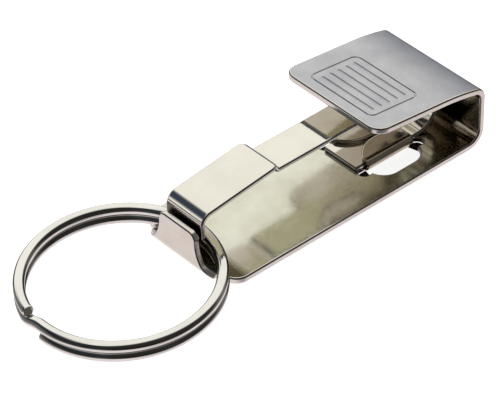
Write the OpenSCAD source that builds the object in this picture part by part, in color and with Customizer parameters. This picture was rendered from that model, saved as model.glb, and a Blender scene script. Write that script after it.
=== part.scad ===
// Belt key clip: a folded sheet clip with a sprung gate over its hook, and a split ring in the hook.
// All sizes are in millimetres. X runs from the ring to the fold, Y across the clip, Z up from the back plate.
// The clip is drawn with its fold at zero and its hook along +X, and is turned round into place at the end.

/* [Sheet] */

// Thickness of the pressed sheet
sheet_t = 1.3; // [1.1:0.05:1.5]
// Width of the plate and the flap
body_w = 25.4; // [24:0.1:30]
// Length of the flat back plate from the outside of the fold
plate_l = 61.6; // [60:0.1:70]
// Corner radius of the free ends of the plate and the flap
corner_r = 3; // [1:0.1:4]

/* [Fold and flap] */

// Height of the fold over its outside, before the flap starts to climb
fold_h = 13.4; // [12.5:0.1:15]
// Outer radius of the bend at the foot of the fold
foot_bend_r = 3.6; // [2.5:0.1:4.5]
// Outer radius of the bend at the top of the fold
top_bend_r = 2.8; // [2:0.1:3.5]
// Outer radius of the bowed first stretch of the flap
bow_r = 50; // [40:1:70]
// Climb of the flap where it leaves the fold, in degrees
flap_start_angle = 15.6; // [13:0.1:18]
// Climb of the flat end of the flap, in degrees
flap_end_angle = 6; // [4:0.1:8]
// Length of the flat end of the flap
flap_flat_l = 17.2; // [14:0.1:20]

/* [Grip panel] */

// Length of the stamped panel along the flap
panel_l = 12.4; // [10:0.1:13]
// Width of the stamped panel across the flap
panel_w = 17; // [14:0.1:19]
// Width of the panel's outline
outline_w = 0.5; // [0.3:0.05:0.7]
// Depth of the stamping
stamp_depth = 0.2; // [0.1:0.02:0.3]
// Width of a grip groove
groove_w = 0.7; // [0.4:0.05:0.9]
// Distance from one grip groove to the next
groove_pitch = 2; // [1.6:0.1:2.8]

/* [Hook lip] */

// Height of the lip
lip_h = 8.7; // [7.4:0.1:9]
// Width of the lip at its top
lip_w = 9.8; // [9:0.1:12]
// Width of the lip at its root
lip_root_w = 17.2; // [16:0.1:18.5]
// Outer radius of the bend below the lip
lip_bend_r = 2.5; // [2:0.1:3]
// Radius of the flared sides of the lip
lip_flare_r = 7; // [6:0.1:8]
// Radius of the top corners of the lip
lip_corner_r = 1.6; // [0.6:0.1:2]

/* [Clinch tabs] */

// Thickness of a tab
tab_t = 0.9; // [0.8:0.05:1]
// Length of a tab and of its opening, along the clip
tab_l = 11.65; // [10:0.05:13]
// Distance from the outside of the fold to the middle of a tab
tab_at = 16.7; // [16:0.1:17.5]
// Width of the opening that a tab leaves in the plate
tab_hole_w = 5.15; // [4.5:0.05:6]
// Corner radius of the opening
tab_corner_r = 3.6; // [3:0.1:4]
// Space between the free edges of the two tabs
tab_space = 0.5; // [0.3:0.05:1]
// Radius of the relief notches at the ends of a tab's fold
notch_r = 1.2; // [0.8:0.05:1.4]

/* [Spring strip] */

// Thickness of the spring strip
strip_t = 0.9; // [0.8:0.05:1]
// Width of the strip under the tabs and round its bend
leaf_w = 8.8; // [8.4:0.1:9.4]
// Distance from the outside of the fold to the end of the strip under the tabs
leaf_end_at = 24.7; // [24:0.1:27]
// Distance from the outside of the fold to the middle of the strip's bend
bend_at = 9; // [8:0.1:9.6]
// Height from the top of the arm up to the inside of the fold's top
arm_drop = 0.25; // [0.1:0.05:0.5]
// Width of the narrow arm
arm_w = 7.7; // [7:0.1:8.2]
// Distance from the outside of the fold to where the arm has its narrow width
taper_end_at = 26; // [22:0.5:32]

/* [Gate] */

// Distance from the outside of the fold to the flat of the wide gate
gate_at = 44.9; // [42:0.1:47]
// Width of the gate
gate_w = 9.7; // [9:0.1:10.5]
// Climb of the strip at the shoulder, from the arm to the gate
shoulder_rise = 1.73; // [1.6:0.01:2]
// Climb of the riser between the arm and the gate, in degrees
riser_angle = 60; // [50:1:70]
// Corner radius of the gate at the shoulder
shoulder_corner_r = 1.8; // [1:0.1:2.4]
// Slope of the gate down towards the hook, in degrees
gate_slope = 6.8; // [6:0.1:8]
// Outer radius of the bend from the gate to its flange
gate_bend_r = 2.5; // [2:0.1:3]
// Gap between the gate's flange and the lip
gate_gap = 0.5; // [0.35:0.05:0.8]
// Corner radius of the flange's free end
flange_corner_r = 1; // [0.5:0.1:1.5]

/* [Split ring] */

// Outside diameter of the ring
ring_d = 38; // [36:0.5:44]
// Width of the flattened wire
wire_w = 2.15; // [1.9:0.05:2.4]
// Thickness of the flattened wire
wire_t = 1.95; // [1.75:0.05:2]
// Radius of the wire's edges
wire_edge_r = 0.85; // [0.5:0.05:0.85]
// Distance from the lip to the ring's wire
ring_back = 2.75; // [2.5:0.05:2.95]
// Place of the ring's cut end, in degrees round from the fold
ring_cut_angle = 167; // [90:1:200]
// Angle that the climb from one turn to the other takes up
climb_angle = 18; // [14:1:24]

/* [Hidden] */

$fn = 96;

// Overrun of every cut past the face that it starts from
overrun = 1;
// Clearances: tab over and beside the leaf, fixed strip to arm, ring to plate, ring to flange
tab_over_clearance = 0.03;
tab_side_clearance = 0.05;
strip_cut = 0.12;
ring_clearance = 0.35;
flange_clearance = 0.1;
// Gap between the ring's turns, and between the lower turn's cut end and the climb, in degrees
turn_gap = 0.07;
cut_gap_angle = 1;
// Lap of the upper turn's cut end, which rides up on the climb, in degrees
cut_lap_angle = 5;
// Inner radius of the strip's bends at the shoulder
shoulder_bend_r = 0.4;
// Straight stretch of the lip's sides between their top corners and their flare
lip_side_l = 0.4;
// Straight stretch of a tab's ends, from its fold to its rounded free edge
tab_end_l = 0.3;
// Length of a relief notch past the end of its tab
notch_l = 2.1;
// Corner radius of the stamped panel, and the space from its edge to the grip grooves
panel_corner_r = 1.6;
groove_margin = 1.6;
// Largest turn of one flat step of a bend, in degrees
bend_step = 5;
// Steps round a corner of the wire's section, along a turn, along the climb and along the lap on it
edge_steps = 4;
turn_steps = 48;
climb_steps = 8;
lap_steps = 2;

// Flap: the points of its upper face where the bend, the bow and the flat end
top_centre_z = fold_h - top_bend_r;
bend_end_x = top_bend_r * (1 - sin(flap_start_angle));
bend_end_z = top_centre_z + top_bend_r * cos(flap_start_angle);
bow_end_x = bend_end_x + bow_r * (sin(flap_start_angle) - sin(flap_end_angle));
bow_end_z = bend_end_z + bow_r * (cos(flap_end_angle) - cos(flap_start_angle));
flap_end_x = bow_end_x + flap_flat_l * cos(flap_end_angle);
flap_end_z = bow_end_z + flap_flat_l * sin(flap_end_angle);

// Hook lip
lip_in_x = plate_l + lip_bend_r - sheet_t;
flare_y = lip_w / 2 + lip_flare_r;
flare_z = lip_h - lip_corner_r - lip_side_l;

// Clinch tabs
tab_fold_y = leaf_w / 2 + tab_side_clearance - strip_t / 2;
tab_flat_w = tab_fold_y - tab_space / 2;
tab_round_w = tab_flat_w - tab_end_l;
tab_round_r = (tab_l * tab_l / 4 + tab_round_w * tab_round_w) / (2 * tab_round_w);

// Spring strip
arm_top_z = fold_h - sheet_t - arm_drop;
strip_bend_r = (arm_top_z - sheet_t) / 2;
arm_start_x = bend_at + strip_cut;

// Split ring, with its lowest point on the ground
ring_r = ring_d / 2;
ring_h = 2 * wire_t + turn_gap;
ring_at = lip_in_x - ring_back - wire_w + ring_r;
ring_tilt = atan((sheet_t + ring_clearance) / (ring_at + ring_r - plate_l));
rim_r = ring_r - wire_edge_r;
rim_z = ring_h / 2 - wire_edge_r;
ring_z = rim_r * sin(ring_tilt) + rim_z * cos(ring_tilt) + wire_edge_r;
ring_reach = rim_r * cos(ring_tilt) + rim_z * sin(ring_tilt) + wire_edge_r;
climb_from = ring_cut_angle - cut_lap_angle + 360;
wire_from = climb_from + climb_angle + cut_gap_angle - 360;
wire_to = climb_from + cut_lap_angle + 360;

// Gate: the riser climbs what its two bends leave of the shoulder's rise
crest_r = shoulder_bend_r + strip_t;
riser_l = (shoulder_rise - shoulder_bend_r * (1 - cos(riser_angle))
    - crest_r * (cos(gate_slope) - cos(riser_angle))) / sin(riser_angle);
riser_at = gate_at - crest_r * (sin(riser_angle) + sin(gate_slope)) - riser_l * cos(riser_angle)
    - shoulder_bend_r * sin(riser_angle);
gate_edge_x = gate_at - crest_r;
flange_x = lip_in_x - gate_gap;
gate_l = (flange_x - gate_bend_r * (1 - sin(gate_slope)) - gate_at) / cos(gate_slope);
flange_top_z = arm_top_z + shoulder_rise - gate_l * sin(gate_slope) - gate_bend_r * cos(gate_slope);
flange_foot_z = 2 * ring_z + flange_clearance;

// The whole part is centred on its full length
fold_x = (ring_at + ring_reach) / 2;

// A strip is drawn along one of its faces, as places [x, z, heading] that its steps [length, turn] lead to
function next_place(place, step) =
    let (way = place[2] + step[1] / 2)
    [place[0] + step[0] * cos(way), place[1] + step[0] * sin(way), place[2] + step[1]];

function places(start, steps) = [
    for (i = 0, place = start; i <= len(steps);
            place = i < len(steps) ? next_place(place, steps[i]) : place, i = i + 1)
        place
];

// The steps of a straight stretch, and of a bend to the left (or to the right, with an angle below zero)
function straight(length) = [[length, 0]];

function bend(r, angle) =
    let (count = ceil(abs(angle) / bend_step), turn = angle / count)
    [for (i = [1 : count]) [2 * r * sin(abs(turn) / 2), turn]];

// Side view of a strip whose thickness lies to the left of its steps, or to the right if it is below zero
module strip_side(start, steps, thickness) {
    path = places(start, steps);
    other_face = [for (p = path) [p[0] - thickness * sin(p[2]), p[1] + thickness * cos(p[2])]];
    polygon(concat(
        [for (p = path) [p[0], p[1]]],
        [for (i = [len(path) - 1 : -1 : 0]) other_face[i]]
    ));
}

// Gives a side view, with Z up, its width across the clip
module across(width) {
    translate([0, width / 2, 0]) rotate([90, 0, 0]) linear_extrude(width) children();
}

// Gives a front view, with Y across and Z up, its depth along +X
module along(depth) {
    rotate([90, 0, 90]) linear_extrude(depth) children();
}

// Turns the clip, drawn from its fold along +X, into its place
module in_place() {
    translate([fold_x, 0, 0]) rotate([0, 0, 180]) children();
}

// Mirrored copies on both sides of the clip's middle plane
module both_sides() {
    children();
    mirror([0, 1, 0]) children();
}

// Mirrored copies of a flat shape to the left and right of zero
module both_ends() {
    children();
    mirror([1, 0]) children();
}

// What rounding takes from a square corner at zero, on stock that lies along -X and -Y
module corner_waste(r) {
    difference() {
        translate([-r, -r]) square(r + overrun);
        translate([-r, -r]) circle(r);
    }
}

module rounded_rect(length, width, r) {
    difference() {
        square([length, width], center = true);
        both_ends() both_sides() translate([length / 2, width / 2]) corner_waste(r);
    }
}

// Cutter for the two corners of a free end at zero, on stock that lies along -X with its top at zero
module end_corners(width, r, height) {
    translate([0, 0, -height - overrun]) linear_extrude(height + 2 * overrun)
        both_sides() translate([0, width / 2]) corner_waste(r);
}

// The whole folded sheet at full width: flap, bow, fold, plate and lip
module folded_sheet() {
    across(body_w) strip_side(
        [flap_end_x, flap_end_z, 180 + flap_end_angle],
        concat(
            straight(flap_flat_l),
            bend(bow_r, flap_start_angle - flap_end_angle),
            bend(top_bend_r, 90 - flap_start_angle),
            straight(top_centre_z - foot_bend_r),
            bend(foot_bend_r, 90),
            straight(plate_l - foot_bend_r),
            bend(lip_bend_r, 90),
            straight(lip_h - lip_bend_r)
        ),
        sheet_t
    );
}

// What is cut away beside the lip, which is narrow at its top and flared to its root
module lip_sides() {
    translate([plate_l, 0, 0]) along(lip_bend_r + overrun) both_ends() {
        translate([lip_root_w / 2, -overrun]) square([body_w / 2, lip_h + 2 * overrun]);
        translate([lip_w / 2, flare_z]) square([body_w / 2, lip_h]);
        translate([flare_y, flare_z]) circle(lip_flare_r);
        translate([lip_w / 2, lip_h]) corner_waste(lip_corner_r);
    }
}

// Puts zero at the end of the flap's upper face, with the flap along -X
module on_flap() {
    translate([flap_end_x, 0, flap_end_z]) rotate([0, -flap_end_angle, 0]) children();
}

// The stamped panel: an outline round a row of grip grooves that run across the flap
module panel_stamp() {
    groove_count = floor((panel_l - 2 * groove_margin - groove_w) / groove_pitch) + 1;
    translate([-flap_flat_l / 2, 0, -stamp_depth]) linear_extrude(stamp_depth + overrun) {
        difference() {
            rounded_rect(panel_l, panel_w, panel_corner_r);
            rounded_rect(panel_l - 2 * outline_w, panel_w - 2 * outline_w, panel_corner_r - outline_w);
        }
        for (i = [0 : groove_count - 1])
            translate([(i - (groove_count - 1) / 2) * groove_pitch, 0])
                rounded_rect(groove_w, panel_w - 2 * groove_margin, groove_w / 2);
    }
}

// The openings that the tabs leave in the plate, each with a relief notch at both ends of its fold line
module tab_holes() {
    translate([tab_at, 0, -overrun]) linear_extrude(sheet_t + 2 * overrun) both_sides() both_ends()
        translate([0, tab_fold_y]) {
            difference() {
                square([tab_l / 2, tab_hole_w]);
                translate([tab_l / 2, tab_hole_w]) corner_waste(tab_corner_r);
            }
            translate([tab_l / 2 + notch_l, 0]) difference() {
                translate([-notch_l - overrun, 0]) square([notch_l + overrun, 2 * notch_r]);
                translate([0, 2 * notch_r]) corner_waste(notch_r);
                mirror([0, 1]) corner_waste(notch_r);
            }
        }
}

// One tab, folded up out of its opening and over the leaf towards the middle
module clinch_tab() {
    fold_out_r = strip_t / 2 + tab_t;
    difference() {
        translate([tab_at - tab_l / 2, 0, 0]) along(tab_l) strip_side(
            [tab_space / 2, sheet_t + strip_t + tab_t, 0],
            concat(straight(tab_flat_w), bend(fold_out_r, -180), straight(tab_flat_w)),
            -tab_t
        );
        translate([tab_at - tab_l, 0, -overrun])
            cube([2 * tab_l, tab_fold_y, sheet_t + overrun]);
        translate([tab_at - tab_l, 0, sheet_t])
            cube([2 * tab_l, leaf_w / 2 + tab_over_clearance, strip_t + tab_over_clearance]);
        translate([tab_at, tab_space / 2, sheet_t]) linear_extrude(strip_t + tab_t + overrun) difference() {
            translate([-tab_l, -overrun]) square([2 * tab_l, tab_round_r + overrun]);
            translate([0, tab_round_r]) circle(tab_round_r);
        }
    }
}

module body_clip() {
    color("silver") in_place() {
        difference() {
            folded_sheet();
            lip_sides();
            translate([plate_l, 0, sheet_t]) end_corners(body_w, corner_r, sheet_t);
            on_flap() end_corners(body_w, corner_r, sheet_t);
            on_flap() panel_stamp();
            tab_holes();
        }
        both_sides() clinch_tab();
    }
}

// The leaf under the tabs and the strip's bend inside the fold
module spring_leaf() {
    color("gainsboro") in_place() across(leaf_w) strip_side(
        [bend_at, arm_top_z, 180],
        concat(bend(strip_bend_r, 180), straight(leaf_end_at - bend_at)),
        strip_t
    );
}

// The arm and the gate seen from above
module gate_plan() {
    polygon([
        [arm_start_x, -leaf_w / 2],
        [taper_end_at, -arm_w / 2],
        [gate_at, -arm_w / 2],
        [gate_at, arm_w / 2],
        [taper_end_at, arm_w / 2],
        [arm_start_x, leaf_w / 2]
    ]);
    difference() {
        translate([gate_edge_x, -gate_w / 2]) square([flange_x + overrun - gate_edge_x, gate_w]);
        translate([gate_edge_x, 0]) mirror([1, 0]) both_sides() translate([0, gate_w / 2])
            corner_waste(shoulder_corner_r);
    }
}

// The moving part of the strip: arm, shoulder, gate and flange
module gate_arm() {
    color("whitesmoke") in_place() difference() {
        intersection() {
            across(leaf_w + gate_w) strip_side(
                [arm_start_x, arm_top_z, 0],
                concat(
                    straight(riser_at - arm_start_x),
                    bend(shoulder_bend_r, riser_angle),
                    straight(riser_l),
                    bend(crest_r, -riser_angle - gate_slope),
                    straight(gate_l),
                    bend(gate_bend_r, gate_slope - 90),
                    straight(flange_top_z - flange_foot_z)
                ),
                -strip_t
            );
            linear_extrude(arm_top_z + shoulder_rise + overrun) gate_plan();
        }
        translate([flange_x - strip_t - overrun, 0, flange_foot_z]) along(strip_t + 2 * overrun)
            both_ends() translate([gate_w / 2, 0]) mirror([0, 1]) corner_waste(flange_corner_r);
    }
}

// Points of the wire's section, corner by corner, each with its place along the radius and its height
function wire_section() = [
    for (corner = [0 : 3], i = [0 : edge_steps])
        let (angle = 90 * (corner + i / edge_steps),
             side = corner == 0 || corner == 3 ? 1 : -1,
             level = corner < 2 ? 1 : -1)
        [side * (wire_w / 2 - wire_edge_r) + wire_edge_r * cos(angle),
         level * (wire_t / 2 - wire_edge_r) + wire_edge_r * sin(angle)]
];

// Share of the climb that the wire has behind it at an angle, easing in and out
function climbed_share(angle) =
    let (share = min(1, max(0, (angle - climb_from) / climb_angle)))
    share * share * (3 - 2 * share);

// Level of the wire's middle: the upper turn lies on the lower one, up to its end on the climb
function wire_level(angle) =
    (wire_t + turn_gap) * (climbed_share(angle) + climbed_share(angle - 360) - 1 / 2);

function spread(from, to, count) = [for (i = [1 : count]) from + (to - from) * i / count];

// Two turns of wire in one sweep: the lower turn, the climb over its cut end, and the upper turn
module split_ring() {
    section = wire_section();
    count = len(section);
    last = 2 * turn_steps + climb_steps + lap_steps;
    angles = concat(
        [wire_from],
        spread(wire_from, climb_from, turn_steps),
        spread(climb_from, climb_from + climb_angle, climb_steps),
        spread(climb_from + climb_angle, climb_from + 360, turn_steps),
        spread(climb_from + 360, wire_to, lap_steps)
    );
    points = [
        for (angle = angles, p = section)
            let (r = ring_r - wire_w / 2 + p[0])
            [r * cos(angle), r * sin(angle), wire_level(angle) + p[1]]
    ];
    sides = [
        for (s = [0 : last - 1], i = [0 : count - 1])
            let (a = s * count + i, b = s * count + (i + 1) % count)
            each [[a, b, a + count], [b, b + count, a + count]]
    ];
    start_cap = [[for (i = [count - 1 : -1 : 0]) i]];
    end_cap = [[for (i = [0 : count - 1]) last * count + i]];
    color("lightgray") translate([fold_x - ring_at, 0, ring_z]) rotate([0, -ring_tilt, 0])
        polyhedron(points, concat(sides, start_cap, end_cap));
}

body_clip();
spring_leaf();
gate_arm();
split_ring();
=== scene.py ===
"""Belt key clip: the dressed model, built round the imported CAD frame.

Lengths are in millimetres until a mesh is made, but the floor, the lamp and the camera are in metres.
"""
import math

import bpy
import numpy as np
from mathutils import Matrix, Vector
from mathutils.geometry import delaunay_2d_cdt


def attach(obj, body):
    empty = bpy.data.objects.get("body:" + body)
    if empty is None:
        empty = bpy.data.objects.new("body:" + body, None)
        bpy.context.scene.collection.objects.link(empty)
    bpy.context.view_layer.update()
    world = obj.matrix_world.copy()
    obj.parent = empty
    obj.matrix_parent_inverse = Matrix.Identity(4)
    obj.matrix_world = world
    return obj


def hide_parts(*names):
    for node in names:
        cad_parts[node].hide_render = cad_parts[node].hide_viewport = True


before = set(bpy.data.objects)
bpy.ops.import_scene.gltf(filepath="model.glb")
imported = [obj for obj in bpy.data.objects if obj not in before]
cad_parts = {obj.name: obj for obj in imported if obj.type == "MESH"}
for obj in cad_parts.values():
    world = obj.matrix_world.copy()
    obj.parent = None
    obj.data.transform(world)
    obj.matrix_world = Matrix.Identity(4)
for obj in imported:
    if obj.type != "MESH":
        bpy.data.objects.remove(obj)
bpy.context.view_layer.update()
MM = 0.001

# Sheet, fold and flap, as in the part's source
SHEET_T, BODY_W, PLATE_L, CORNER_R = 1.3, 25.4, 61.6, 3.0
FOLD_H, FOOT_R, TOP_R, BOW_R = 13.4, 3.6, 2.8, 50.0
FLAP_START, FLAP_END, FLAP_FLAT_L = math.radians(15.6), math.radians(6), 17.2
# Grip panel
PANEL_L, PANEL_W, OUTLINE_W, STAMP_DEPTH = 12.4, 17.0, 0.5, 0.2
GROOVE_W, GROOVE_PITCH, PANEL_R, GROOVE_MARGIN = 0.7, 2.0, 1.6, 1.6
# Hook lip
LIP_H, LIP_W, LIP_ROOT_W, LIP_BEND_R, LIP_FLARE_R = 8.7, 9.8, 17.2, 2.5, 7.0
LIP_CORNER_R, LIP_SIDE_L = 1.6, 0.4
# Clinch tabs
TAB_T, TAB_L, TAB_AT, TAB_HOLE_W, TAB_CORNER_R = 0.9, 11.65, 16.7, 5.15, 3.6
TAB_SPACE, NOTCH_R, NOTCH_L, TAB_END_L, TAB_CLEARANCE = 0.5, 1.2, 2.1, 0.3, 0.05
# Spring strip and gate. The leaf meets the arm at LEAF_CUT past its bend's top, with a gap of SEAM
STRIP_T, LEAF_W, LEAF_END_AT, LEAF_CORNER_R = 0.9, 8.8, 24.7, 0.5
BEND_AT, LEAF_CUT, SEAM, ARM_DROP = 9.0, 0.1, 0.01, 0.25
ARM_W, TAPER_END_AT, GATE_AT, GATE_W, SHOULDER_RISE = 7.7, 26.0, 44.9, 9.7, 1.73
RISER_ANGLE, GATE_SLOPE = math.radians(60), math.radians(6.8)
SHOULDER_CORNER_R, SHOULDER_BEND_R, GATE_BEND_R, GATE_GAP = 1.8, 0.4, 2.5, 0.5
FLANGE_CORNER_R, FLANGE_CLEARANCE = 1.0, 0.1
# Split ring, with the place of its cut, its climb, its gap and its lap in degrees
RING_D, WIRE_W, WIRE_T, WIRE_EDGE_R, RING_BACK = 38.0, 2.15, 1.95, 0.85, 2.75
RING_CUT, CLIMB, CUT_GAP, CUT_LAP = 167.0, 18.0, 1.0, 5.0
RING_CLEARANCE, TURN_GAP = 0.35, 0.07

# Derived places
TOP_CENTRE_Z = FOLD_H - TOP_R
BOW_TURN = FLAP_START - FLAP_END
FLAP_END_X = (TOP_R * (1 - math.sin(FLAP_START)) + BOW_R * (math.sin(FLAP_START) - math.sin(FLAP_END))
              + FLAP_FLAT_L * math.cos(FLAP_END))
FLAP_END_Z = (TOP_CENTRE_Z + TOP_R * math.cos(FLAP_START)
              + BOW_R * (math.cos(FLAP_END) - math.cos(FLAP_START)) + FLAP_FLAT_L * math.sin(FLAP_END))
LIP_IN_X = PLATE_L + LIP_BEND_R - SHEET_T
FLARE_Y = LIP_W / 2 + LIP_FLARE_R
FLARE_Z = LIP_H - LIP_CORNER_R - LIP_SIDE_L
TAB_FOLD_Y = LEAF_W / 2 + TAB_CLEARANCE - STRIP_T / 2
TAB_FLAT_W = TAB_FOLD_Y - TAB_SPACE / 2
TAB_ROUND_W = TAB_FLAT_W - TAB_END_L
TAB_ROUND_R = (TAB_L ** 2 / 4 + TAB_ROUND_W ** 2) / (2 * TAB_ROUND_W)
ARM_TOP_Z = FOLD_H - SHEET_T - ARM_DROP
STRIP_BEND_R = (ARM_TOP_Z - SHEET_T) / 2
RING_R = RING_D / 2
RING_AT = LIP_IN_X - RING_BACK - WIRE_W + RING_R
RING_TILT = math.atan((SHEET_T + RING_CLEARANCE) / (RING_AT + RING_R - PLATE_L))
RIM_R = RING_R - WIRE_EDGE_R
RIM_Z = (2 * WIRE_T + TURN_GAP) / 2 - WIRE_EDGE_R
RING_Z = RIM_R * math.sin(RING_TILT) + RIM_Z * math.cos(RING_TILT) + WIRE_EDGE_R
RING_REACH = RIM_R * math.cos(RING_TILT) + RIM_Z * math.sin(RING_TILT) + WIRE_EDGE_R
CREST_R = SHOULDER_BEND_R + STRIP_T
RISER_L = (SHOULDER_RISE - SHOULDER_BEND_R * (1 - math.cos(RISER_ANGLE))
           - CREST_R * (math.cos(GATE_SLOPE) - math.cos(RISER_ANGLE))) / math.sin(RISER_ANGLE)
RISER_AT = (GATE_AT - CREST_R * (math.sin(RISER_ANGLE) + math.sin(GATE_SLOPE))
            - RISER_L * math.cos(RISER_ANGLE) - SHOULDER_BEND_R * math.sin(RISER_ANGLE))
GATE_EDGE_X = GATE_AT - CREST_R
FLANGE_X = LIP_IN_X - GATE_GAP
GATE_L = (FLANGE_X - GATE_BEND_R * (1 - math.sin(GATE_SLOPE)) - GATE_AT) / math.cos(GATE_SLOPE)
FLANGE_TOP_Z = ARM_TOP_Z + SHOULDER_RISE - GATE_L * math.sin(GATE_SLOPE) - GATE_BEND_R * math.cos(GATE_SLOPE)
FLANGE_FOOT_Z = 2 * RING_Z + FLANGE_CLEARANCE
# The part is drawn from its fold outwards, and then turned about z by half a turn and moved to this x
HALF_TURN = (-1, -1, 1)
FOLD_X = (RING_AT + RING_REACH) / 2

# Rounding of the pressed edges
SHEET_EDGE_R, STRIP_EDGE_R = 0.35, 0.38
# How finely bends and a tab's free edge, other curves of an outline, and the relief notches are drawn
BEND_STEP, ARC_STEP, NOTCH_STEP = math.radians(3), math.radians(7), math.radians(12)
# Rows of a rounded edge, and steps of a quarter turn, of the lip's flare, of the wire and of its cut ends
EDGE_ROWS, CORNER_STEPS, FLARE_STEPS, WIRE_STEPS, CUT_STEPS = 4, 8, 60, 271, 3
# Shares of a groove's width where its loops lie: down one slope, and for an outline also up the other
SLOPE_SHARES = (0, 0.12, 0.24, 0.36)
OUTLINE_SHARES = (*SLOPE_SHARES, 0.5, 0.64, 0.76, 0.88, 1)
# Round-over of the wire's cut ends: its length in degrees, and the end face's share of the section
CUT_ROUND, CUT_SIZE_SHARE = 0.35, 0.78
# Sides of an outline over this length get a point at each bend line, unless it lies this near a corner
LONG_SIDE, KNOT_MARGIN = 0.5, 0.02
# Lengths under which a point counts as on a bend line, two points count as one, and all is a rounding error
SLACK, NEAR, ROUNDING = 0.01, 1e-6, 1e-9
# The least cosine that a corner's mitre is worked out with, the turn by which a tab's outline stays off its
# middle, and the halvings of a search along a path
LEAST_MITRE, TAB_TIP_TURN, HALVINGS = 0.6, 0.02, 60

# Material slots of the pressed sheet: plain, satin outer face, edge of an opening with painted shade, inner
# face with painted shade in the fold and the hook, tab with painted shade, sheared edge, and the line round
# an edge painted dark as a reflection
PLAIN, SATIN, OPENING, INNER, TAB, SHEARED, LINE = range(7)
# Material slots of the strip: plain, sheared edge, face in the slot behind the lip, line painted dark as a
# reflection
STRIP_PLAIN, STRIP_SHEARED, STRIP_SHADED, STRIP_LINE = range(4)
STRIP_SLOTS = {SHEARED: STRIP_SHEARED, LINE: STRIP_LINE}
# Material slots of the wire
WIRE_PLAIN, WIRE_END, WIRE_SIDE = range(3)
# Rows of each rounded edge that get the line painted dark as a reflection, and how much of the gate's bend is
# shaded above the flange
LINE_ROWS, SHADED_BEND = (1, 2), math.radians(12)
# Steps of the wire's upper corners, up from its sides, that have the sides' dark tint, a painted dark
# reflection
SIDE_STEPS = 5


class Path:
    """A line of straight stretches and arcs in a plane, along one face of a folded strip."""

    def __init__(self, start, heading, steps):
        self.parts = []
        self.knots = []
        at, turned, s = np.array(start, float), heading, 0.0
        for length, angle in steps:
            self.parts.append((s, length, angle, at, turned))
            if angle:
                count = math.ceil(abs(angle) / BEND_STEP)
                first = 1 if self.knots and abs(self.knots[-1] - s) < NEAR else 0
                self.knots += [s + length * i / count for i in range(first, count + 1)]
            at, turned = self.along(self.parts[-1], length)
            s += length
        self.length = s

    def along(self, part, distance):
        """Place and heading at a distance along one of the parts."""
        _, length, angle, at, turned = part
        if not angle:
            return at + distance * np.array([math.cos(turned), math.sin(turned)]), turned
        r = length / angle
        now = turned + distance / r
        return at + r * np.array([math.sin(now) - math.sin(turned), math.cos(turned) - math.cos(now)]), now

    def at(self, s):
        part = next((p for p in reversed(self.parts) if s >= p[0] - ROUNDING), self.parts[0])
        return self.along(part, s - part[0])

    def bends(self):
        """Where each bend begins and ends."""
        return [(s, s + length) for s, length, angle, _, _ in self.parts if angle]

    def distance_at(self, x, low=0.0):
        """Distance along the path where its first coordinate reaches x, for a stretch that runs forwards."""
        high = self.length
        for _ in range(HALVINGS):
            mid = (low + high) / 2
            if self.at(mid)[0][0] < x:
                low = mid
            else:
                high = mid
        return low


def straight(length):
    return length, 0.0


def bend(r, angle):
    return r * abs(angle), angle


def arc(centre, r, start, end, step=ARC_STEP):
    count = max(2, math.ceil(abs(end - start) / step))
    return [(centre[0] + r * math.cos(start + (end - start) * i / count),
             centre[1] + r * math.sin(start + (end - start) * i / count)) for i in range(count + 1)]


def mirrored(half):
    """A closed outline from its half with y over zero, drawn from the lowest s to the highest."""
    return [(s, -y) for s, y in half] + [(s, y) for s, y in reversed(half)]


def with_knots(points, knots):
    """Adds a point wherever a straight side of an outline crosses a bend line."""
    out = [points[0]]
    for a, b in zip(points, points[1:]):
        if abs(b[0] - a[0]) > LONG_SIDE:
            for k in sorted(knots, reverse=b[0] < a[0]):
                if min(a[0], b[0]) + KNOT_MARGIN < k < max(a[0], b[0]) - KNOT_MARGIN:
                    share = (k - a[0]) / (b[0] - a[0])
                    out.append((k, a[1] + share * (b[1] - a[1])))
        out.append(b)
    return out


def outline_normals(loop):
    """Outward normal and mitre vector of each point of a closed outline that keeps the stock on its left."""
    p = np.array(loop)
    after = np.roll(p, -1, axis=0) - p
    after /= np.linalg.norm(after, axis=1)[:, None]
    before = np.roll(after, 1, axis=0)
    n = np.stack([after[:, 1] + before[:, 1], -after[:, 0] - before[:, 0]], axis=1)
    n /= np.linalg.norm(n, axis=1)[:, None]
    edge = np.stack([after[:, 1], -after[:, 0]], axis=1)
    mitre = np.clip((n * edge).sum(axis=1), LEAST_MITRE, 1)
    return n, n / mitre[:, None]


def inside(point, loops):
    hit = False
    x, y = point
    for loop in loops:
        for (x0, y0), (x1, y1) in zip(loop, loop[1:] + loop[:1]):
            if (y0 > y) != (y1 > y) and x < x0 + (y - y0) * (x1 - x0) / (y1 - y0):
                hit = not hit
    return hit


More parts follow.
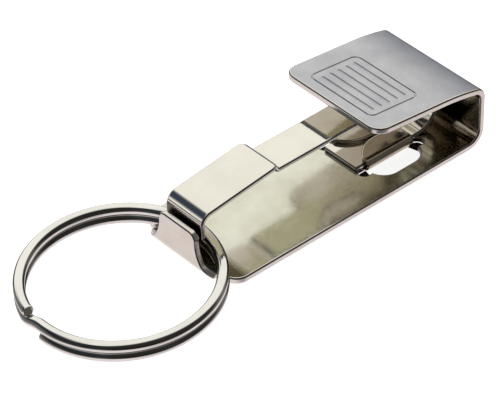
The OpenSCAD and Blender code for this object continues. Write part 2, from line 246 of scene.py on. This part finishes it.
class Plate:
    """A flat blank with rounded edges, drawn unrolled in s, y and n. It is folded along a path afterwards."""

    def __init__(self):
        self.places, self.normals, self.faces, self.slots = [], [], [], []

    def add(self, place, normal):
        self.places.append(place)
        self.normals.append(normal)
        return len(self.places) - 1

    def cut(self, loops, thickness, edge_r, bends, stamp=()):
        """The blank between its outlines. The first is mirrored, and bend lines join its facing points."""
        rims = []
        for number, loop in enumerate(loops):
            flat, mitre = outline_normals(loop)
            rows = []
            for level, sign in ((thickness - edge_r, 1), (edge_r, -1)):
                order = range(EDGE_ROWS, -1, -1) if sign > 0 else range(EDGE_ROWS + 1)
                for i in order:
                    turn = math.pi / 2 * i / EDGE_ROWS
                    level_share, rise = math.cos(turn), sign * math.sin(turn)
                    back, n = edge_r * (1 - level_share), level + edge_r * rise
                    rows.append([self.add((p[0] - back * m[0], p[1] - back * m[1], n),
                                          (f[0] * level_share, f[1] * level_share, rise))
                                 for p, m, f in zip(loop, mitre, flat)])
            for row, (upper, lower) in enumerate(zip(rows, rows[1:])):
                edge = LINE if row % (EDGE_ROWS + 1) in LINE_ROWS else SHEARED
                for i in range(len(loop)):
                    j = (i + 1) % len(loop)
                    self.faces.append((upper[i], lower[i], lower[j], upper[j]))
                    self.slots.append(OPENING if number else edge)
            rims.append((rows[0], rows[-1]))
        for side, marks in ((0, ()), (1, stamp)):
            self.fill([rim[side] for rim in rims], bends, marks, side)

    def fill(self, rims, bends, stamp, side):
        """Triangles between the rims, with edges along the bend lines and along the loops of the stamping."""
        known = [i for rim in rims for i in rim]
        edges = []
        start = 0
        for rim in rims:
            edges += [(start + i, start + (i + 1) % len(rim)) for i in range(len(rim))]
            start += len(rim)
        outer = len(rims[0])
        for i in range(1, outer // 2 - 1):
            s = self.places[rims[0][i]][0]
            if any(low - SLACK <= s <= high + SLACK for low, high in bends):
                edges.append((i, outer - 1 - i))
        for points, closed in stamp:
            first = len(known)
            known += [self.add(place, normal) for place, normal in points]
            edges += [(first + i, first + i + 1) for i in range(len(points) - 1)]
            if closed:
                edges.append((first + len(points) - 1, first))
        flat = [Vector(self.places[i][:2]) for i in known]
        verts, _, tris, origins, _, _ = delaunay_2d_cdt(flat, edges, [], 0, NEAR, True)
        level = self.places[rims[0][0]][2]
        facing = (0, 0, -1 if side else 1)
        ids = []
        for v, origin in zip(verts, origins):
            ids.append(known[origin[0]] if origin else self.add((*v, level), facing))
        loops = [[self.places[i][:2] for i in rim] for rim in rims]
        for tri in tris:
            a, b, c = (verts[i] for i in tri)
            if not inside(((a[0] + b[0] + c[0]) / 3, (a[1] + b[1] + c[1]) / 3), loops):
                continue
            area = (b[0] - a[0]) * (c[1] - a[1]) - (c[0] - a[0]) * (b[1] - a[1])
            order = tri if (area > 0) != bool(side) else tri[::-1]
            self.faces.append(tuple(ids[i] for i in order))
            self.slots.append(SATIN if side else INNER)

    def folded(self, path, hand=1, across_at=None):
        """Places, normals, faces and slots after folding. hand is -1 for a thickness on the path's right.

        The path lies in x and z, or with across_at in y and z, at that x.
        """
        places, normals = [], []
        for (s, y, n), (ns, ny, nn) in zip(self.places, self.normals):
            p, turned = path.at(s)
            along = np.array([math.cos(turned), math.sin(turned)])
            up = hand * np.array([-along[1], along[0]])
            at, to = p + n * up, ns * along + nn * up
            if across_at is None:
                places.append((at[0], y, at[1]))
                normals.append((to[0], ny, to[1]))
            else:
                places.append((across_at - y, at[0], at[1]))
                normals.append((-ny, to[0], to[1]))
        faces = self.faces if hand > 0 else [f[::-1] for f in self.faces]
        return places, normals, faces, self.slots


def blank(path, half, thickness, edge_r, holes=(), stamp=()):
    """A plate from the half of its outline with y over zero, which gets a point at each bend line."""
    plate = Plate()
    plate.cut([mirrored(with_knots(half, path.knots)), *holes], thickness, edge_r, path.bends(), stamp)
    return plate


def joined(parts):
    places, normals, faces, slots = [], [], [], []
    for p, n, f, s in parts:
        start = len(places)
        places += p
        normals += n
        faces += [tuple(i + start for i in face) for face in f]
        slots += s
    return places, normals, faces, slots


def flipped_y(part):
    places, normals, faces, slots = part
    places, normals = ([(x, -y, z) for x, y, z in rows] for rows in (places, normals))
    return places, normals, [f[::-1] for f in faces], slots


def linked(name, data):
    """An object in the scene, for a mesh, a light or a camera."""
    obj = bpy.data.objects.new(name, data)
    bpy.context.scene.collection.objects.link(obj)
    return obj


def piece(name, part, materials, turned=True):
    """A mesh object with smooth shading from the exact normals, turned round into the part's place."""
    places, normals, faces, slots = part
    co, no = np.array(places), np.array(normals)
    if turned:
        co = co * HALF_TURN + (FOLD_X, 0, 0)
        no = no * HALF_TURN
    no /= np.linalg.norm(no, axis=1)[:, None]
    mesh = bpy.data.meshes.new(name)
    mesh.from_pydata((co * MM).tolist(), [], faces)
    for m in materials:
        mesh.materials.append(m)
    mesh.polygons.foreach_set("material_index", slots)
    mesh.polygons.foreach_set("use_smooth", [True] * len(faces))
    mesh.normals_split_custom_set_from_vertices(no.tolist())
    mesh.update()
    return linked(name, mesh)


def rounded_loop(at, length, width, r, inset):
    """A closed loop round a rounded rectangle, and its outward directions."""
    a, b, r = length / 2 - inset, width / 2 - inset, max(r - inset, 0.0)
    points = []
    for quarter, (sx, sy) in enumerate(((1, 1), (-1, 1), (-1, -1), (1, -1))):
        for i in range(CORNER_STEPS + 1):
            turn = math.pi / 2 * (quarter + i / CORNER_STEPS)
            out = (math.cos(turn), math.sin(turn))
            points.append(((at + sx * (a - r) + r * out[0], sy * (b - r) + r * out[1]), out))
    return points


def stamped(at, length, width, r, groove_w, shares):
    """Closed loops of a pressed groove, one at each share of its width."""
    loops = []
    for share in shares:
        depth = STAMP_DEPTH * math.sin(math.pi * share) ** 2
        slope = STAMP_DEPTH * math.pi / groove_w * math.sin(2 * math.pi * share)
        points = rounded_loop(at, length, width, r, share * groove_w)
        loops.append(([((*p, depth), (-slope * out[0], -slope * out[1], -1)) for p, out in points], True))
    return loops


def stamped_slot(at, width):
    """A straight groove across the panel, which is deepest along its middle line."""
    half = width / 2 - GROOVE_W / 2
    middle = [((at, y, STAMP_DEPTH), (0, 0, -1)) for y in (-half, half)]
    return stamped(at, GROOVE_W, width, GROOVE_W / 2, GROOVE_W, SLOPE_SHARES) + [(middle, False)]


def grip_panel(at):
    """The stamped outline of the panel, and as many grooves as it has room for."""
    stamp = stamped(at, PANEL_L, PANEL_W, PANEL_R, OUTLINE_W, OUTLINE_SHARES)
    last = int((PANEL_L - 2 * GROOVE_MARGIN - GROOVE_W) / GROOVE_PITCH)
    for i in range(last + 1):
        stamp += stamped_slot(at + (i - last / 2) * GROOVE_PITCH, PANEL_W - 2 * GROOVE_MARGIN)
    return stamp


def sheet_outline(path, plate_start):
    """Half of the sheet's outline: the flap, the fold, the plate and the lip with its flared sides."""
    half_w, plate_end, lip_end = BODY_W / 2, plate_start + PLATE_L, path.length
    half = [(0, half_w - CORNER_R)]
    half += arc((CORNER_R, half_w - CORNER_R), CORNER_R, math.pi, math.pi / 2)[1:]
    half += arc((plate_end - CORNER_R, half_w - CORNER_R), CORNER_R, math.pi / 2, 0)
    flare_l = lip_end - LIP_CORNER_R - LIP_SIDE_L - plate_end
    for i in range(FLARE_STEPS + 1):
        s = plate_end + flare_l * i / FLARE_STEPS
        z = path.at(s)[0][1]
        y = FLARE_Y - math.sqrt(max(LIP_FLARE_R ** 2 - (z - FLARE_Z) ** 2, 0))
        half.append((s, min(y, LIP_ROOT_W / 2)))
    return half + arc((lip_end - LIP_CORNER_R, LIP_W / 2 - LIP_CORNER_R), LIP_CORNER_R, math.pi / 2, 0)


def tab_openings(at):
    """The opening that each tab leaves, with its relief notches."""
    notch_x = TAB_L / 2 + NOTCH_L - NOTCH_R
    turn = math.asin((2 * NOTCH_R - (TAB_HOLE_W - TAB_CORNER_R)) / TAB_CORNER_R)
    side = arc((notch_x, NOTCH_R), NOTCH_R, -math.pi / 2, math.pi / 2, NOTCH_STEP)
    side += arc((TAB_L / 2 - TAB_CORNER_R, TAB_HOLE_W - TAB_CORNER_R), TAB_CORNER_R, turn, math.pi / 2)
    hole = side + [(-x, y) for x, y in reversed(side)]
    return [[(at + x, TAB_FOLD_Y + y) for x, y in reversed(hole)],
            [(at + x, -TAB_FOLD_Y - y) for x, y in hole]]


def body_sheet():
    path = Path((FLAP_END_X, FLAP_END_Z), math.pi + FLAP_END, [
        straight(FLAP_FLAT_L), bend(BOW_R, BOW_TURN), bend(TOP_R, math.pi / 2 - FLAP_START),
        straight(TOP_CENTRE_Z - FOOT_R), bend(FOOT_R, math.pi / 2), straight(PLATE_L - FOOT_R),
        bend(LIP_BEND_R, math.pi / 2), straight(LIP_H - LIP_BEND_R)])
    foot, flat = path.parts[4:6]
    satin_end, plate_start = foot[0], flat[0] - FOOT_R
    plate = blank(path, sheet_outline(path, plate_start), SHEET_T, SHEET_EDGE_R,
                  tab_openings(plate_start + TAB_AT), grip_panel(FLAP_FLAT_L / 2))
    plate.slots = [PLAIN if s == SATIN and max(plate.places[i][0] for i in f) > satin_end + SLACK else s
                   for s, f in zip(plate.slots, plate.faces)]
    return plate.folded(path)


def clinch_tab():
    """A tab, from its rounded free edge over the strip and down into the sheet."""
    path = Path((TAB_SPACE / 2, SHEET_T + STRIP_T + TAB_T), 0, [
        straight(TAB_FLAT_W), bend(STRIP_T / 2 + TAB_T, -math.pi), straight(STRIP_EDGE_R)])
    turn = math.asin(TAB_L / 2 / TAB_ROUND_R)
    half = arc((TAB_ROUND_R, 0), TAB_ROUND_R, math.pi - TAB_TIP_TURN, math.pi - turn, BEND_STEP)
    half += [(path.length, TAB_L / 2)]
    plate = blank(path, half, TAB_T, STRIP_EDGE_R)
    plate.slots = [TAB] * len(plate.slots)
    return plate.folded(path, -1, across_at=TAB_AT)


def strip_leaf():
    """The strip's fixed part: its U-bend inside the fold, and the leaf under the tabs."""
    path = Path((BEND_AT + LEAF_CUT, ARM_TOP_Z), math.pi, [
        straight(LEAF_CUT), bend(STRIP_BEND_R, math.pi), straight(LEAF_END_AT - BEND_AT)])
    half = [(0, LEAF_W / 2)]
    half += arc((path.length - LEAF_CORNER_R, LEAF_W / 2 - LEAF_CORNER_R), LEAF_CORNER_R, math.pi / 2, 0)
    plate = blank(path, half, STRIP_T, STRIP_EDGE_R)
    plate.slots = [STRIP_SLOTS.get(s, STRIP_PLAIN) for s in plate.slots]
    return plate.folded(path)


def gate_strip():
    """The strip's moving part: its arm, the wider shoulder and the flange behind the lip."""
    start = BEND_AT + LEAF_CUT + SEAM
    path = Path((start, ARM_TOP_Z), 0, [
        straight(RISER_AT - start), bend(SHOULDER_BEND_R, RISER_ANGLE), straight(RISER_L),
        bend(CREST_R, -RISER_ANGLE - GATE_SLOPE), straight(GATE_L),
        bend(GATE_BEND_R, GATE_SLOPE - math.pi / 2), straight(FLANGE_TOP_Z - FLANGE_FOOT_Z)])
    turn = math.acos(1 - (GATE_W - ARM_W) / 2 / SHOULDER_CORNER_R)
    corner = arc((GATE_EDGE_X + SHOULDER_CORNER_R, GATE_W / 2 - SHOULDER_CORNER_R), SHOULDER_CORNER_R,
                 math.pi / 2 + turn, math.pi / 2)
    half = [(0, LEAF_W / 2), (TAPER_END_AT - start, ARM_W / 2)]
    half += [(path.distance_at(x, RISER_AT - start), y) for x, y in corner]
    half += arc((path.length - FLANGE_CORNER_R, GATE_W / 2 - FLANGE_CORNER_R), FLANGE_CORNER_R,
                math.pi / 2, 0)
    plate = blank(path, half, STRIP_T, STRIP_EDGE_R)
    shaded_from = path.length - (FLANGE_TOP_Z - FLANGE_FOOT_Z) - SHADED_BEND * GATE_BEND_R - SLACK
    plate.slots = [STRIP_SHADED if s == SATIN and min(plate.places[i][0] for i in f) >= shaded_from
                   else STRIP_SLOTS.get(s, STRIP_PLAIN) for s, f in zip(plate.slots, plate.faces)]
    return plate.folded(path, -1)


def climbed(angle):
    share = min(1, max(0, angle / CLIMB))
    return share * share * (3 - 2 * share)


def cut_end(angle, way):
    """Rows of a cut end of the wire: their angle, their size and how far they face along the wire."""
    rows = [(angle, 0, -way)]
    for k in range(CUT_STEPS):
        size = CUT_SIZE_SHARE + (1 - CUT_SIZE_SHARE) * math.sin(math.pi / 2 * k / CUT_STEPS)
        rows.append((angle + way * CUT_ROUND * k / CUT_STEPS, size, way * (k / CUT_STEPS - 1)))
    return rows


def split_wire():
    section = rounded_loop(0, WIRE_W, WIRE_T, WIRE_EDGE_R, 0)
    climb_from = RING_CUT - CUT_LAP + 360
    start, end = climb_from + CLIMB + CUT_GAP - 360, climb_from + CUT_LAP + 360
    rows = cut_end(start, 1)
    rows += [(angle, 1, 0) for angle in np.linspace(start, end, WIRE_STEPS + 1)[1:-1]]
    rows += reversed(cut_end(end, -1))
    places, normals = [], []
    tilt = Matrix.Rotation(-RING_TILT, 3, "Y")
    for angle, size, cap in rows:
        height = (WIRE_T + TURN_GAP) * (climbed(angle - climb_from) + climbed(angle - climb_from - 360) - 0.5)
        c, s = math.cos(math.radians(angle)), math.sin(math.radians(angle))
        weight = 1 - abs(cap)
        for p, out in section:
            r = RING_R - WIRE_W / 2 + p[0] * size
            n = Vector((out[0] * c * weight - s * cap, out[0] * s * weight + c * cap, out[1] * weight))
            at = tilt @ Vector((r * c, r * s, height + p[1] * size)) + Vector((FOLD_X - RING_AT, 0, RING_Z))
            places.append(tuple(at))
            normals.append(tuple(tilt @ n))
    faces, slots = [], []
    count, last = len(section), len(rows) - 1
    sides = {*range(SIDE_STEPS), *range(2 * CORNER_STEPS + 1 - SIDE_STEPS, 2 * CORNER_STEPS + 1)}
    for row in range(last):
        cut = row < CUT_STEPS or row >= last - CUT_STEPS
        for i in range(count):
            a, b = row * count + i, row * count + (i + 1) % count
            faces.append((a + count, b + count, b, a))
            slots.append(WIRE_END if cut else WIRE_SIDE if i in sides else WIRE_PLAIN)
    return places, normals, faces, slots


# Sockets of a colour mix by number, since their names repeat
MIX_SHARE, MIX_FIRST, MIX_SECOND, MIX_COLOUR = 0, 6, 7, 2
# Stretches of a noise along x, y and z, and the middle spreads of its values
EVEN, SCRATCHED, GRAINED = (1, 1, 1), (0.03, 1, 1), (0.35, 1, 1)
CLOUD_SPREAD, GRAIN_SPREAD = (0.35, 0.65), (0.3, 0.7)


class Wiring:
    """The nodes of a material or of the world, with short calls for the kinds that repeat."""

    def __init__(self, tree):
        self.nodes, self.links = tree.nodes, tree.links

    def node(self, kind, **values):
        made = self.nodes.new("ShaderNode" + kind)
        for key, value in values.items():
            if key in made.inputs:
                made.inputs[key].default_value = value
            else:
                setattr(made, key, value)
        return made

    def place(self, stretch=EVEN):
        """Object coordinates with a stretch."""
        mapping = self.node("Mapping", Scale=stretch)
        self.links.new(self.node("TexCoord").outputs["Object"], mapping.inputs["Vector"])
        return mapping.outputs["Vector"]

    def noise(self, scale, detail, roughness, stretch=EVEN):
        made = self.node("TexNoise", Scale=scale, Detail=detail, Roughness=roughness)
        self.links.new(self.place(stretch), made.inputs["Vector"])
        return made.outputs["Fac"]

    def ranged(self, value, spread, to=(0, 1), smooth=False):
        """A value moved from one spread to another, and held at both ends."""
        made = self.node("MapRange", interpolation_type="SMOOTHSTEP" if smooth else "LINEAR")
        for key, number in zip(("From Min", "From Max", "To Min", "To Max"), (*spread, *to)):
            made.inputs[key].default_value = number
        self.links.new(value, made.inputs["Value"])
        return made.outputs["Result"]

    def mixed(self, share, first, second):
        """A colour between two, each of them plain or a socket."""
        made = self.node("Mix", data_type="RGBA")
        self.links.new(share, made.inputs[MIX_SHARE])
        for number, colour in ((MIX_FIRST, first), (MIX_SECOND, second)):
            if isinstance(colour, tuple):
                made.inputs[number].default_value = (*colour, 1)
            else:
                self.links.new(colour, made.inputs[number])
        return made.outputs[MIX_COLOUR]

    def bump(self, height, strength, distance):
        made = self.node("Bump", Strength=strength, Distance=distance)
        self.links.new(height, made.inputs["Height"])
        return made


def shader(name, base, rough, metallic=1):
    """A material with its principled shader and its wiring."""
    material = bpy.data.materials.new(name)
    material.use_nodes = True
    wiring = Wiring(material.node_tree)
    principled = wiring.nodes["Principled BSDF"]
    principled.inputs["Base Color"].default_value = (*base, 1)
    principled.inputs["Metallic"].default_value = metallic
    principled.inputs["Roughness"].default_value = rough
    return material, principled, wiring


def nickel(name, tint_a, tint_b, rough_low, rough_high, waviness, painted_shade_bands=()):
    """Bright nickel plate: a tint that drifts, a fine haze, long thin scratches and a slight waviness.

    Each band of painted shade is the x where its browner tint begins, the x where it is full, and that tint.
    """
    material, principled, wiring = shader(name, tint_a, rough_low)
    links = wiring.links
    clouds = wiring.noise(140.0, 4.0, 0.55)
    colour = wiring.mixed(wiring.ranged(clouds, CLOUD_SPREAD), tint_a, tint_b)
    for begins, full, tint in painted_shade_bands:
        place = wiring.node("SeparateXYZ")
        links.new(wiring.place(), place.inputs[0])
        colour = wiring.mixed(wiring.ranged(place.outputs["X"], (begins * MM, full * MM)), colour, tint)
    links.new(colour, principled.inputs["Base Color"])
    haze = wiring.noise(900.0, 3.0, 0.6)
    links.new(wiring.ranged(haze, GRAIN_SPREAD, (rough_low, rough_high)), principled.inputs["Roughness"])
    scratches = wiring.bump(wiring.noise(2600.0, 2.0, 0.5, SCRATCHED), 0.05, 0.00002)
    waves = wiring.bump(wiring.noise(260.0, 2.0, 0.5), waviness, 0.0002)
    links.new(scratches.outputs["Normal"], waves.inputs["Normal"])
    links.new(waves.outputs["Normal"], principled.inputs["Normal"])
    return material


def satin(name):
    """Satin nickel of the outer face: short fine grain and a soft haze."""
    material, principled, wiring = shader(name, (0.53, 0.53, 0.55), 0.36)
    grain = wiring.noise(4200.0, 3.0, 0.65, GRAINED)
    haze = wiring.ranged(wiring.noise(220.0, 4.0, 0.6), CLOUD_SPREAD)
    colour = wiring.mixed(haze, (0.49, 0.49, 0.51), (0.57, 0.57, 0.58))
    wiring.links.new(colour, principled.inputs["Base Color"])
    wiring.links.new(wiring.ranged(grain, GRAIN_SPREAD, (0.3, 0.42)), principled.inputs["Roughness"])
    wiring.links.new(wiring.bump(grain, 0.18, 0.00004).outputs["Normal"], principled.inputs["Normal"])
    return material


sheet_nickel = nickel("SheetNickel", (0.74, 0.71, 0.63), (0.66, 0.62, 0.53), 0.10, 0.20, 0.10)
# Painted shade: the inner face turns darker and browner inside the fold and in the hook, where shade falls
inner_nickel_painted_shade = nickel("InnerNickelPaintedShade", (0.68, 0.675, 0.575), (0.60, 0.59, 0.475), 0.10, 0.20, 0.10,
                      ((27.0, 44.0, (0.34, 0.30, 0.23)), (-9.3, -11.3, (0.14, 0.12, 0.08))))
# Painted shade: a dark tint on the rims of the tab openings, where shade falls inside them
opening_painted_shade = nickel("OpeningPaintedShade", (0.30, 0.27, 0.22), (0.22, 0.20, 0.16), 0.25, 0.40, 0.10)
sheared_nickel = nickel("ShearedNickel", (0.74, 0.71, 0.65), (0.68, 0.64, 0.57), 0.16, 0.26, 0.06)
# Painted reflection: a dark tint on the line round each rounded edge
edge_line_painted_reflection = nickel("EdgeLinePaintedReflection", (0.20, 0.19, 0.17), (0.15, 0.14, 0.12), 0.16, 0.26, 0.05)
# Painted reflection: a dark tint on the wire's upper corners near its sides
wire_side_painted_reflection = nickel("WireSidePaintedReflection", (0.19, 0.185, 0.165), (0.13, 0.125, 0.11), 0.06, 0.12, 0.05)
shaded_nickel = nickel("ShadedNickel", (0.16, 0.15, 0.13), (0.12, 0.11, 0.09), 0.20, 0.30, 0.05)
# Painted shade: the clinch tabs, which lie under the arm and the flap, get a darker, browner tint
tab_painted_shade = nickel("TabPaintedShade", (0.46, 0.42, 0.33), (0.36, 0.32, 0.25), 0.08, 0.16, 0.12)
strip_nickel = nickel("StripNickel", (0.76, 0.74, 0.66), (0.71, 0.68, 0.60), 0.04, 0.09, 0.03)
wire_nickel = nickel("WireNickel", (0.76, 0.75, 0.70), (0.68, 0.67, 0.62), 0.06, 0.12, 0.05)
satin_nickel = satin("SatinNickel")
# The metals in the order of the material slots
sheet_metals = (sheet_nickel, satin_nickel, opening_painted_shade, inner_nickel_painted_shade, tab_painted_shade, sheared_nickel,
                edge_line_painted_reflection)
strip_metals = (strip_nickel, sheared_nickel, shaded_nickel, edge_line_painted_reflection)
wire_metals = (wire_nickel, sheared_nickel, wire_side_painted_reflection)

tab = clinch_tab()
clip = piece("pressed_clip", joined([body_sheet(), tab, flipped_y(tab)]), sheet_metals)
leaf = piece("strip_leaf", strip_leaf(), strip_metals)
gate = piece("strip_gate", gate_strip(), strip_metals)
ring = piece("split_wire", split_wire(), wire_metals, turned=False)
for made, body, node_name, slot in ((clip, "clip", "body_clip", "plated_sheet"),
                                    (leaf, "clip", "spring_leaf", "plated_spring"),
                                    (gate, "gate", "gate_arm", "plated_spring"),
                                    (ring, "ring", "split_ring", "plated_wire")):
    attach(made, body)
    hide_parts(node_name)


# The studio's light above and below, and the heights of a direction between which one passes into the other
STUDIO_WHITE, STUDIO_GROUND, GROUND_SPREAD = (1.12, 1.11, 1.08), (0.95, 0.88, 0.93), (-0.25, 0.0)
# Its darker band round the horizon, which is full below the first height and gone over the second
STUDIO_HORIZON, HORIZON_SPREAD = (0.20, 0.20, 0.21), (0.04, 0.14)
# Each darker gap in the light: its direction, where it is full and where it ends in degrees, and its shade
STUDIO_GAPS = (
    ((0.00, -0.93, 0.37), 52, 74, (0.13, 0.13, 0.13)),
    ((-0.50, -0.80, -0.10), 26, 34, (0.09, 0.09, 0.09)),
    ((-0.96, -0.15, 0.10), 26, 38, (0.11, 0.12, 0.14)),
    ((-0.85, 0.05, 0.50), 22, 37, (0.14, 0.15, 0.18)),
    ((-0.45, 0.60, 0.66), 11, 34, (0.05, 0.065, 0.10)),
    ((0.86, 0.50, 0.10), 10, 22, (0.10, 0.12, 0.18)),
    ((0.96, 0.20, -0.10), 14, 24, (0.03, 0.03, 0.035)),
    ((0.05, 1.00, 0.00), 8, 16, (0.10, 0.10, 0.11)),
)
# The lamp over the floor, and the floor's half width, its glow and the height of the shades on it
LAMP_D, LAMP_POWER, LAMP_PLACE = 1.6, 9.0, (0.0, 0.1, 1.5)
FLOOR_HALF_W, FLOOR_GLOW, SHADE_Z = 3, 0.85, 0.01
# The fitted camera, for a frame 500 wide: its turns, its lens and sensor, and its place from the fold
CAMERA_TURNS = (math.radians(-41.03), math.radians(39.33), math.radians(-1.0))
CAMERA_LENS, CAMERA_SENSOR, CAMERA_CLIP = 224.7, 36, 0.01
CAMERA_PLACE = (-0.3321, -0.3279, 0.3584)


def floor():
    mesh = bpy.data.meshes.new("floor")
    corners = [(sx * FLOOR_HALF_W, sy * FLOOR_HALF_W, 0) for sx, sy in ((-1, -1), (1, -1), (1, 1), (-1, 1))]
    mesh.from_pydata(corners, [], [(0, 1, 2, 3)])
    material, principled, _ = shader("Floor", (0.6, 0.6, 0.6), 0.8, metallic=0)
    principled.inputs["Emission Color"].default_value = (1, 1, 1, 1)
    principled.inputs["Emission Strength"].default_value = FLOOR_GLOW
    mesh.materials.append(material)
    obj = linked("floor", mesh)
    obj.visible_glossy = False


def notch_shades():
    """The floor's shade inside the relief notches, which are too narrow to let the studio's light in."""
    places, faces = [], []
    for sx, sy in ((1, 1), (-1, 1), (1, -1), (-1, -1)):
        loop = [(TAB_L / 2 - NOTCH_R / 2, 0)]
        loop += arc((TAB_L / 2 + NOTCH_L - NOTCH_R, NOTCH_R), NOTCH_R, -math.pi / 2, math.pi / 2)
        loop += [(TAB_L / 2, 2 * NOTCH_R)]
        faces.append(tuple(range(len(places), len(places) + len(loop))))
        places += [((FOLD_X - TAB_AT + sx * x) * MM, sy * (TAB_FOLD_Y + y) * MM, SHADE_Z * MM)
                   for x, y in loop]
    mesh = bpy.data.meshes.new("notch_shades")
    mesh.from_pydata(places, [], faces)
    material, _, _ = shader("NotchShade", (0.03, 0.027, 0.022), 0.9, metallic=0)
    mesh.materials.append(material)
    obj = linked("notch_shades", mesh)


def studio():
    """A bright studio, darker round its horizon and in its gaps, and a soft lamp over the floor."""
    world = bpy.data.worlds.new("Studio")
    bpy.context.scene.world = world
    world.use_nodes = True
    wiring = Wiring(world.node_tree)
    links = wiring.links
    way = wiring.node("TexCoord").outputs["Generated"]
    height = wiring.node("SeparateXYZ")
    links.new(way, height.inputs[0])
    level = wiring.node("Math", operation="ABSOLUTE")
    links.new(height.outputs["Z"], level.inputs[0])
    over_ground = wiring.ranged(height.outputs["Z"], GROUND_SPREAD, smooth=True)
    colour = wiring.mixed(over_ground, STUDIO_GROUND, STUDIO_WHITE)
    off_horizon = wiring.ranged(level.outputs[0], HORIZON_SPREAD, smooth=True)
    colour = wiring.mixed(off_horizon, STUDIO_HORIZON, colour)
    for direction, near, far, shade in STUDIO_GAPS:
        facing = wiring.node("VectorMath", operation="DOT_PRODUCT")
        links.new(way, facing.inputs[0])
        facing.inputs[1].default_value = Vector(direction).normalized()
        spread = (math.cos(math.radians(far)), math.cos(math.radians(near)))
        colour = wiring.mixed(wiring.ranged(facing.outputs["Value"], spread, smooth=True), colour, shade)
    links.new(colour, wiring.nodes["Background"].inputs["Color"])
    light = bpy.data.lights.new("FloorLight", "AREA")
    light.shape = "DISK"
    light.size = LAMP_D
    light.energy = LAMP_POWER
    lamp = linked("FloorLight", light)
    lamp.location = LAMP_PLACE
    lamp.visible_glossy = False
    bpy.context.scene.view_settings.view_transform = "Standard"


def camera():
    """The photograph's camera, with its place, turns and lens."""
    azimuth, elevation, roll = CAMERA_TURNS
    back = Vector((math.sin(azimuth) * math.cos(elevation), -math.cos(azimuth) * math.cos(elevation),
                   math.sin(elevation)))
    right = Vector((math.cos(azimuth), math.sin(azimuth), 0))
    up = back.cross(right)
    across = math.cos(roll) * right + math.sin(roll) * up
    rise = -math.sin(roll) * right + math.cos(roll) * up
    data = bpy.data.cameras.new("Camera")
    data.sensor_fit = "HORIZONTAL"
    data.sensor_width = CAMERA_SENSOR
    data.lens = CAMERA_LENS
    data.clip_start = CAMERA_CLIP
    obj = linked("Camera", data)
    x, y, z = CAMERA_PLACE
    turn = Matrix((across, rise, back)).transposed().to_4x4()
    obj.matrix_world = Matrix.Translation((FOLD_X * MM + x, y, z)) @ turn
    bpy.context.scene.camera = obj


floor()
notch_shades()
studio()
camera()
